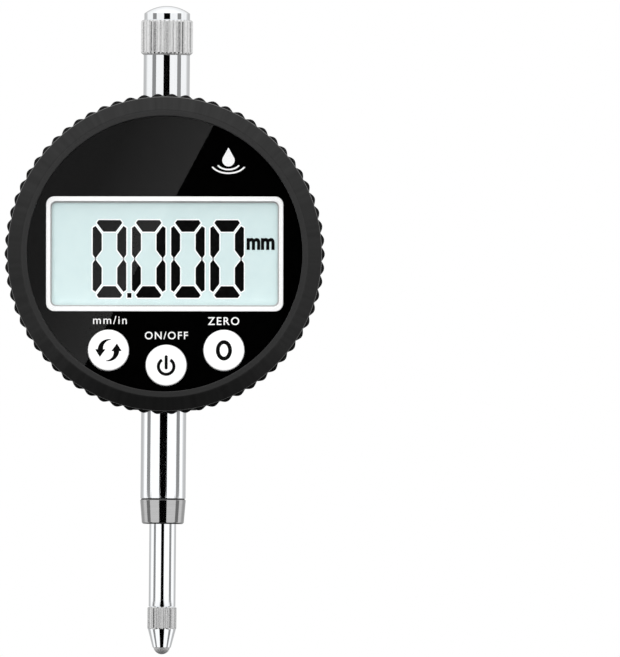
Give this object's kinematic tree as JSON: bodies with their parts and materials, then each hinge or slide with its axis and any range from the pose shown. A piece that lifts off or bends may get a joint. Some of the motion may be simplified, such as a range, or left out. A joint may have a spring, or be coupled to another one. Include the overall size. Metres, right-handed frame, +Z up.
{
  "type": "dial indicator",
  "caption": "Round electronic dial indicator with a turning display head, an 8 mm stem, a sprung spindle with ball contact and a lug back.",
  "frame": {"origin": "on the spindle's axis, in the middle of the stretch of the 8 mm stem that a stand clamps", "axes": "+Z up the measuring axis from the contact point to the cap, the display faces -Y, +X to the right as the display is read"},
  "size_m": [0.0566, 0.0389, 0.1148],
  "materials": {
    "case_black": "fine moulded texture",
    "bezel_black": "satin, knurled, fine radial turning marks",
    "face_gloss_black": "polished",
    "white_plastic": "satin white",
    "lcd_pale": "pale cyan liquid crystal cell",
    "chrome": "polished",
    "ground_steel": "ground",
    "screw_steel": "plain steel",
    "bushing_brass": "machined",
    "seal_rubber": "matt rubber",
    "circuit_board": "solder mask",
    "ribbon_film": "polyimide film"
  },
  "bodies": {
    "case": {"housing": "case_black", "back_cover": "case_black", "cover_gasket": "seal_rubber", "cover_screw_1": "screw_steel", "cover_screw_2": "screw_steel", "cover_screw_3": "screw_steel", "cover_screw_4": "screw_steel", "stem": "chrome", "stem_nose": "ground_steel", "wiper_seal": "seal_rubber", "lower_bushing": "bushing_brass", "upper_bushing": "bushing_brass", "bumper": "seal_rubber", "return_spring": "screw_steel", "guide_rail": "screw_steel", "encoder_board": "circuit_board", "encoder_chip": "case_black", "board_screw_1": "screw_steel", "board_screw_2": "screw_steel", "battery_tray": "case_black", "battery": "screw_steel", "battery_contact_negative": "bushing_brass", "battery_contact_positive": "bushing_brass", "data_port": "case_black", "retaining_ring": "screw_steel", "ribbon_cable": "ribbon_film"},
    "head": {"bezel_ring": "bezel_black", "face_lens": "face_gloss_black", "face_mask": "face_gloss_black", "lcd_frame": "white_plastic", "lcd_glass": "lcd_pale", "lcd_reflector": "white_plastic", "zebra_upper": "seal_rubber", "zebra_lower": "seal_rubber", "display_board": "circuit_board", "keypad_mat": "seal_rubber", "snap_dome_1": "screw_steel", "snap_dome_2": "screw_steel", "snap_dome_3": "screw_steel", "head_back": "case_black", "head_screw_1": "screw_steel", "head_screw_2": "screw_steel", "head_screw_3": "screw_steel", "head_screw_4": "screw_steel", "friction_ring": "seal_rubber"},
    "spindle": {"spindle_rod": "chrome", "contact_point": "ground_steel", "contact_ball": "chrome", "scale_carrier": "ground_steel", "carrier_screw": "screw_steel", "guide_pin": "screw_steel", "scale_strip": "circuit_board"},
    "unit_button": {"button_unit": "white_plastic"},
    "power_button": {"button_power": "white_plastic"},
    "zero_button": {"button_zero": "white_plastic"},
    "cap": {"dust_cap": "chrome"},
    "battery_door": {"battery_lid": "case_black", "lid_o_ring": "seal_rubber"},
    "plug": {"port_plug": "seal_rubber"}
  },
  "joints": [
    {"name": "spindle_travel", "type": "slide", "parent": "case", "child": "spindle", "axis": [0, 0, 1], "range_m": [0, 0.0127], "stiffness_N_per_m": 20, "springref_m": -0.045, "deforming": ["return_spring"]},
    {"name": "display_rotate", "type": "hinge", "parent": "case", "child": "head", "pos_m": [0, -0.009, 0.0356], "axis": [0, 1, 0], "range_deg": [-135, 135]},
    {"name": "unit_press", "type": "slide", "parent": "head", "child": "unit_button", "axis": [0, 1, 0], "range_m": [0, 0.0004], "stiffness_N_per_m": 500, "springref_m": -0.0005},
    {"name": "power_press", "type": "slide", "parent": "head", "child": "power_button", "axis": [0, 1, 0], "range_m": [0, 0.0004], "stiffness_N_per_m": 500, "springref_m": -0.0005},
    {"name": "zero_press", "type": "slide", "parent": "head", "child": "zero_button", "axis": [0, 1, 0], "range_m": [0, 0.0004], "stiffness_N_per_m": 500, "springref_m": -0.0005},
    {"name": "cap_lift", "type": "slide", "parent": "case", "child": "cap", "axis": [0, 0, 1], "range_m": [0, 0.02]},
    {"name": "battery_lid_pull", "type": "slide", "parent": "case", "child": "battery_door", "axis": [0, 1, 0], "range_m": [0, 0.008]},
    {"name": "port_plug_pull", "type": "slide", "parent": "case", "child": "plug", "axis": [-1, 0, 0], "range_m": [0, 0.006]}
  ]
}
